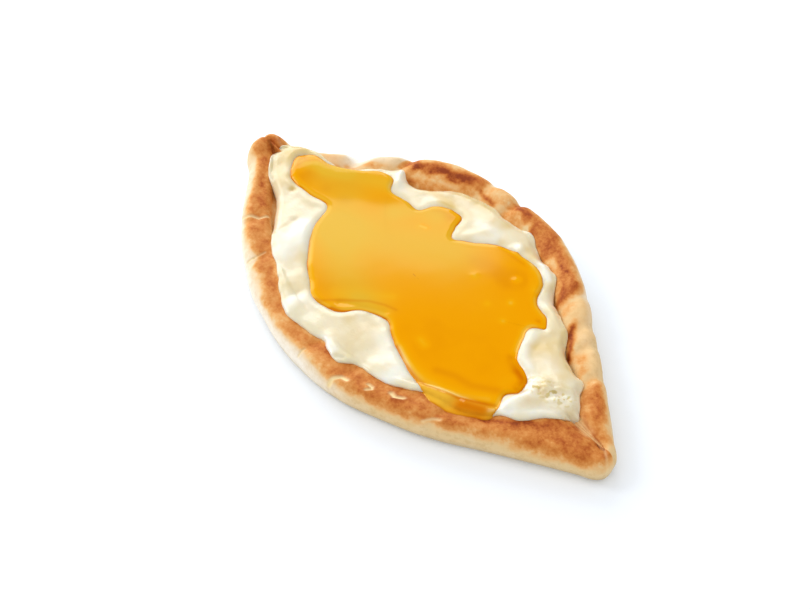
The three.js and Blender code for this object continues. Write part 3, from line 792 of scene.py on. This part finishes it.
class Finish:
    """A material in the making."""

    def __init__(self, name):
        self.material = bpy.data.materials.new(name)
        self.material.use_nodes = True
        self.tree = self.material.node_tree
        self.tree.nodes.clear()
        self.place = self.node("ShaderNodeTexCoord").outputs["Object"]

    def node(self, kind, settings=None, inputs=None):
        """Any node, from its type, its settings and the values or links of its sockets."""
        made = self.tree.nodes.new(kind)
        for name, value in (settings or {}).items():
            if name == "stops":
                for element in list(made.color_ramp.elements)[1:]:
                    made.color_ramp.elements.remove(element)
                made.color_ramp.elements[0].position = value[0][0]
                made.color_ramp.elements[0].color = value[0][1]
                for position, colour in value[1:]:
                    made.color_ramp.elements.new(position).color = colour
            else:
                setattr(made, name, value)
        for name, value in (inputs or {}).items():
            socket = made.inputs[name]
            if isinstance(value, Amount):
                value = value.socket
            if isinstance(value, bpy.types.NodeSocket):
                self.tree.links.new(value, socket)
            else:
                socket.default_value = value
        return made

    def mark(self, name):
        """A value kept at the mesh's points."""
        return Amount(self, self.node("ShaderNodeAttribute", {"attribute_name": name}).outputs["Fac"])

    def grain(self, size, detail=3.0, roughness=0.55):
        """Noise from 0 to 1 with features about so many millimetres across."""
        node = self.node("ShaderNodeTexNoise", {}, {
            "Vector": self.place, "Scale": 1 / (size * MM), "Detail": detail, "Roughness": roughness})
        return Amount(self, node.outputs[0])

    def height(self):
        """Height above the table in millimetres."""
        split = self.node("ShaderNodeSeparateXYZ", {}, {0: self.place})
        return Amount(self, split.outputs["Z"]) * (1 / MM)

    def ramp(self, amount, tones):
        """A colour that follows an amount through a row of tones."""
        stops = [(position, colour(tone)) for position, tone in tones]
        return self.node("ShaderNodeValToRGB", {"stops": stops}, {0: amount}).outputs[0]

    def blend(self, share, first, second):
        """One colour turning into another."""
        node = self.node("ShaderNodeMix", {"data_type": "RGBA"}, {0: share, 6: first, 7: second})
        return node.outputs[2]

    def bump(self, height, depth):
        """Relief so many millimetres deep."""
        inputs = {"Height": height, "Distance": depth * MM, "Strength": 1.0}
        return self.node("ShaderNodeBump", {}, inputs).outputs[0]

    def surface(self, **inputs):
        """The shader, with its socket names in lower case and underscores for spaces."""
        named = {name.replace("_", " ").title().replace("Ior", "IOR"): v for name, v in inputs.items()}
        shader = self.node("ShaderNodeBsdfPrincipled", {}, named)
        self.node("ShaderNodeOutputMaterial", {}, {"Surface": shader.outputs[0]})
        return self.material


def colour(tone):
    """A tone given as it looks on a screen (sRGB, 0 to 255), as the renderer needs it."""
    values = [c / 255 for c in tone]
    return tuple(c / 12.92 if c <= 0.04045 else ((c + 0.055) / 1.055) ** 2.4 for c in values) + (1.0,)


# ---- Finishes ----------------------------------------------------------------------------------


# Tones as they look on a screen. A row of tones runs from 0 to 1 of what it follows.
BAKED_DOUGH = [
    (0.00, (231, 201, 150)), (0.12, (234, 196, 140)), (0.28, (231, 174, 108)), (0.44, (222, 152, 80)),
    (0.64, (208, 127, 54)), (0.84, (182, 92, 28)), (1.00, (146, 60, 12)),
]
FLOUR_AND_LIGHT_WHITE = (251, 245, 233)
DUSTY_DOUGH = (208, 170, 112)
# Painted shade at the foot of the wall, for its contact shadow.
WALL_FOOT_SHADE = (186, 170, 142)
TORN_DOUGH = (252, 226, 170)
PALE_CREAM = (240, 230, 202)
DEEP_CREAM = (235, 220, 182)
BUTTERY_AND_SHADED_CREAM = (222, 194, 122)
PAINTED_HIGHLIGHT_CREAM = (252, 248, 235)
CURD_PITS = (214, 192, 108)
HONEY_TONES = [
    (0.00, (246, 216, 146)), (0.20, (238, 187, 62)), (0.45, (239, 167, 5)), (0.70, (237, 157, 0)),
    (1.00, (208, 112, 0)),
]
CLOUDY_REFLECTING_HONEY = (224, 176, 46)
HONEY_RIM = (213, 121, 6)
TABLE_WHITE = (241, 247, 254)
TABLE_SHADE = (239, 245, 253)
DEEPEST_HONEY = 5.0  # thickness at which the honey has its deepest tone


def crust_finish():
    finish = Finish("crust")
    toast = finish.mark("toast")
    patches = finish.grain(6, 4, 0.6) - 0.5
    freckles = finish.grain(1.8, 4, 0.65) - 0.5
    browned = toast * 0.66 + (patches * 0.95 + freckles * 0.6) * toast.step(0.02, 0.6)
    baked = finish.ramp(browned.held(), BAKED_DOUGH)
    pale = 1 - toast.step(0.02, 0.40)
    # Flour, with painted light mixed in on the low wall facing the lamp and on one shaded inner slope.
    flour = finish.mark("flour") * 1.1 + (finish.grain(9, 4, 0.6) - 0.5) * 0.5
    base = finish.blend(flour.held() * pale, baked, colour(FLOUR_AND_LIGHT_WHITE))
    dusty = finish.grain(2.6, 5, 0.65).step(0.44, 0.64)
    base = finish.blend(dusty * 0.4 * pale * (1 - flour.held() * 0.8), base, colour(DUSTY_DOUGH))
    # Painted shade: the pale wall greyer and darker towards the table, for the contact shadow at its foot.
    low = 1 - finish.height().step(0.5, 6)
    base = finish.blend(low * 0.75 * pale, base, colour(WALL_FOOT_SHADE))
    base = finish.blend(finish.mark("torn").held(), base, colour(TORN_DOUGH))
    relief = finish.grain(2.4, 5, 0.62) * 0.5 + finish.grain(0.7, 3, 0.5) * 0.15
    return finish.surface(
        base_color=base,
        roughness=0.8 - toast.step(0.3, 0.9) * 0.22,
        specular_ior_level=0.2,
        normal=finish.bump(relief, 0.4),
    )


def cream_finish():
    finish = Finish("cream")
    cloudy = finish.grain(14, 3, 0.5).step(0.3, 0.7)
    base = finish.blend(cloudy * 0.8, colour(PALE_CREAM), colour(DEEP_CREAM))
    # Partly painted shade: a yellower tone in the hollows and shaded places, partly buttery colour.
    base = finish.blend(finish.mark("hollow").held(), base, colour(BUTTERY_AND_SHADED_CREAM))
    # Painted highlights: whiter patches where slopes catch the lamps.
    base = finish.blend(finish.mark("white").held() * 0.85, base, colour(PAINTED_HIGHLIGHT_CREAM))
    curdled = finish.mark("curdled")
    pits = curdled * finish.grain(2.2, 2, 0.4).step(0.50, 0.60)
    base = finish.blend(pits * 0.8, base, colour(CURD_PITS))
    relief = finish.grain(2.2, 3, 0.5) * (curdled * 2 + 1)
    return finish.surface(
        base_color=base,
        roughness=0.24 + finish.grain(5, 2, 0.5) * 0.12,
        specular_ior_level=0.5,
        coat_weight=0.6,
        coat_roughness=0.16,
        normal=finish.bump(relief, 0.10),
        subsurface_weight=0.6,
        subsurface_radius=(1.0, 0.85, 0.6),
        subsurface_scale=4.0 * MM,
    )


def honey_finish():
    finish = Finish("honey")
    thickness = finish.mark("thickness")
    cloudy = finish.grain(22, 3, 0.5) - 0.5
    # Shade strokes deepen or pale the colour; some of the pale ones are painted highlights.
    seen = (thickness / DEEPEST_HONEY + cloudy * 0.15 + finish.mark("shade") * 0.7).held()
    base = finish.ramp(seen, HONEY_TONES)
    # Partly painted reflection of the back softbox, as a paler, cloudier tone.
    base = finish.blend(finish.mark("haze").held(), base, colour(CLOUDY_REFLECTING_HONEY))
    base = finish.blend(finish.mark("rim").held(), base, colour(HONEY_RIM))
    return finish.surface(
        base_color=base,
        roughness=0.08,
        specular_tint=(1.0, 0.9, 0.45, 1.0),
        IOR=1.45,
        normal=finish.bump(finish.grain(30, 2, 0.4), 0.12),
    )


# ---- Making the pieces -------------------------------------------------------------------------


def toasted(station, climb, side):
    """How browned the rim is at points given by their x and the way climbed from the bulge."""
    places = np.stack([station, climb], axis=-1)
    ragged = bumps(places, TOAST_RAGS)
    total = 0
    for which, rows, scorches in ((-1, TOAST_LOW, SCORCH_LOW), (1, TOAST_HIGH, SCORCH_HIGH)):
        _, start, end, strength = rows_at(rows, station[0])
        begun = smooth((climb - start + ragged) / TOAST_LOW_FADE + 0.5)
        band = begun * smooth((end - climb + ragged) / TOAST_TOP_FADE + 0.5)
        foot = FOOT * smooth((climb - start + ragged) / FOOT_WIDTH + 1) * (1 - band)
        total = total + ((band + foot) * strength + brushed(places, scorches)) * (side == which)
    return total


def cracks(station, climb, side, spread=0):
    """Where the thin cracks in the low side's crust run: up to 1 along them."""
    places = np.stack([station, climb], axis=-1)
    lines = [(line, width + spread, strength) for line, width, strength in CRACKS_LOW]
    return np.minimum(brushed(places, lines), 1) * (side < 0)


def floured_and_lit(station, climb, side):
    """How white the pale dough is: flour, with painted light on the low side's wall towards the lamp and on
    the high side's inner slope at -50.
    """
    low = LOW_FLOUR_AND_LIGHT - LOW_FLOUR_AND_LIGHT_LOSS * fade(climb, *LOW_FLOUR_AND_LIGHT_CLIMB)
    for end in LOW_FLOUR_AND_LIGHT_ENDS:
        low = low * fade(station, *end)
    high = fade(climb, *HIGH_FLOUR_CLIMB)
    for end in HIGH_FLOUR_ENDS:
        high = high * fade(station, *end)
    for at, width, strength, climbs in FLOUR_AND_LIGHT_PATCHES:
        high = high + strength * bell(station - at, width) * fade(climb, *climbs)
    return np.where(side < 0, low, high)


def make_bread():
    rings, side, climb = bread_rings()
    station = np.broadcast_to(rings[BULGE_RING, :, 0], climb.shape)
    torn = cracks(station, climb, side)
    relief = bumps(rings, CRUST_SWELL) + bumps(rings, CRUST_PIMPLES)
    relief += brushed(rings[..., :2], TIP_GROOVES + TIP_LOBES)
    relief += CRACK_LIP_HEIGHT * cracks(station, climb, side, CRACK_LIP) - CRACK_DEPTH * torn
    relief *= smooth((rings[..., 2] - RELIEF_START) / RELIEF_RUN)
    rings = rings + outward(rings) * relief[..., None]
    return skin("flatbread", rings, {
        "toast": toasted(station, climb, side),
        "torn": torn + brushed(rings[..., :2], TIP_TORN),
        # Flour, and painted light on the low wall facing the lamp.
        "flour": floured_and_lit(station, climb, side),
    }), rings


def make_cream(bread, honey_outline):
    ring = uneven(outline_ring(CREAM, CREAM_STEPS), CREAM_WAVER)
    rings, _, _ = layer_rings(ring, CREAM_EDGE, CREAM_TUCK, CREAM_RINGS, Ground(bread),
                              cream_top(honey_outline))
    plan = rings[..., :2]
    # Painted shade mixed with buttery colour, and painted highlights, kept at the cream's points.
    hollow = brushed(plan, CREAM_BUTTER_AND_SHADE) + bumps(plan, CREAM_MOTTLE)
    marks = {"hollow": hollow, "white": brushed(plan, CREAM_PAINTED_HIGHLIGHTS), "curdled": curdling(plan)}
    return skin("cream_spread", rings, marks), rings


def make_honey(bread, cream, ring):
    rings, thickness, depth = layer_rings(ring, HONEY_EDGE, HONEY_TUCK, HONEY_RINGS,
                                          Ground(bread, cream), honey_top)
    plan = rings[..., :2]
    rim = bell(depth, RIM_WIDTH) * (0.5 + bumps(plan, RIM_MOTTLE))
    return skin("honey_pool", rings, {
        "thickness": np.maximum(thickness, LEAST_SEEN),
        "rim": np.minimum(rim + brushed(plan, HONEY_LINES), 1),
        # The shade strokes hold painted highlights; the haze is partly painted reflection.
        "shade": brushed(plan, HONEY_SHADES_AND_HIGHLIGHTS),
        "haze": brushed(plan, HONEY_HAZE_AND_REFLECTION) * smooth(depth / HAZE_AND_REFLECTION_EDGE),
    })


# ---- Stage -------------------------------------------------------------------------------------

AIM = Vector((-6.2, -7.3, 0)) * MM
CAMERA_PLACE = Vector((462.1, -368.5, 656.8)) * MM
LENS = 90
SENSOR = 36
FLOOR_SIZE = 14.0  # metres
FLOOR_GLOW = 0.10  # a lit table, which lifts the shadows a little
WORLD_LIGHT = 0.82
LOOK_X, LOOK_Y = -0.79, 0.61  # the way the camera looks, seen from above


def make_floor():
    half = FLOOR_SIZE / 2
    mesh = bpy.data.meshes.new("table_top")
    corners = [(-half, -half, 0), (half, -half, 0), (half, half, 0), (-half, half, 0)]
    mesh.from_pydata(corners, [], [(0, 1, 2, 3)])
    floor = bpy.data.objects.new("table_top", mesh)
    bpy.context.scene.collection.objects.link(floor)
    finish = Finish("white_table")
    mottle = finish.grain(900, 2, 0.5)
    base = finish.blend(mottle * 0.3, colour(TABLE_WHITE), colour(TABLE_SHADE))
    mesh.materials.append(finish.surface(base_color=base, roughness=0.7, specular_ior_level=0.1,
                                         emission_color=(1, 1, 1, 1), emission_strength=FLOOR_GLOW))


def make_camera():
    camera = bpy.data.objects.new("camera", bpy.data.cameras.new("camera"))
    bpy.context.scene.collection.objects.link(camera)
    camera.data.lens = LENS
    camera.data.sensor_width = SENSOR
    camera.location = CAMERA_PLACE
    camera.rotation_mode = "QUATERNION"
    camera.rotation_quaternion = (AIM - CAMERA_PLACE).to_track_quat("-Z", "Y")
    bpy.context.scene.camera = camera


def make_softbox(name, bearing, elevation, distance, width, height, radiance, roll=0):
    """A softbox that faces the object, in metres and degrees. Its bearing is counted from straight
    behind the object, to the left."""
    turn = math.atan2(LOOK_Y, LOOK_X) + math.radians(bearing)
    rise = math.radians(elevation)
    flat = math.cos(rise)
    place = Vector((math.cos(turn) * flat, math.sin(turn) * flat, math.sin(rise))) * distance
    light = bpy.data.lights.new(name, "AREA")
    light.shape = "RECTANGLE"
    light.size = width
    light.size_y = height
    light.energy = radiance * math.pi * width * height
    lamp = bpy.data.objects.new(name, light)
    bpy.context.scene.collection.objects.link(lamp)
    lamp.location = place
    lamp.rotation_mode = "QUATERNION"
    turned = Quaternion((0, 0, 1), math.radians(roll))
    lamp.rotation_quaternion = (-place).to_track_quat("-Z", "Y") @ turned
    lamp.visible_camera = False


def make_light():
    scene = bpy.context.scene
    world = bpy.data.worlds.new("studio")
    world.use_nodes = True
    world.node_tree.nodes["Background"].inputs["Color"].default_value = (1, 1, 1, 1)
    world.node_tree.nodes["Background"].inputs["Strength"].default_value = WORLD_LIGHT
    scene.world = world
    world.cycles_visibility.glossy = False
    scene.view_settings.view_transform = "Standard"
    make_softbox("back_softbox", bearing=24.5, elevation=23.5, distance=1.5, width=1.7, height=1.0,
                 radiance=2.4, roll=-22)
    make_softbox("left_softbox", bearing=72, elevation=38, distance=2.4, width=0.9, height=0.9,
                 radiance=5.0)


# ---- Assembly ----------------------------------------------------------------------------------

flatbread, bread_skin = make_bread()
honey_ring = uneven(outline_ring(HONEY, HONEY_STEPS), HONEY_WAVER)
cream_spread, cream_skin = make_cream(bread_skin, Outline(honey_ring))
honey_pool = make_honey(bread_skin, cream_skin, honey_ring)

for piece, node, slot, finish in (
    (flatbread, "bread", "crust", crust_finish()),
    (cream_spread, "cream", "cream", cream_finish()),
    (honey_pool, "honey", "honey", honey_finish()),
):
    piece.data.materials.append(finish)
    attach(piece, "root")
    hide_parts(node)

make_floor()
make_camera()
make_light()
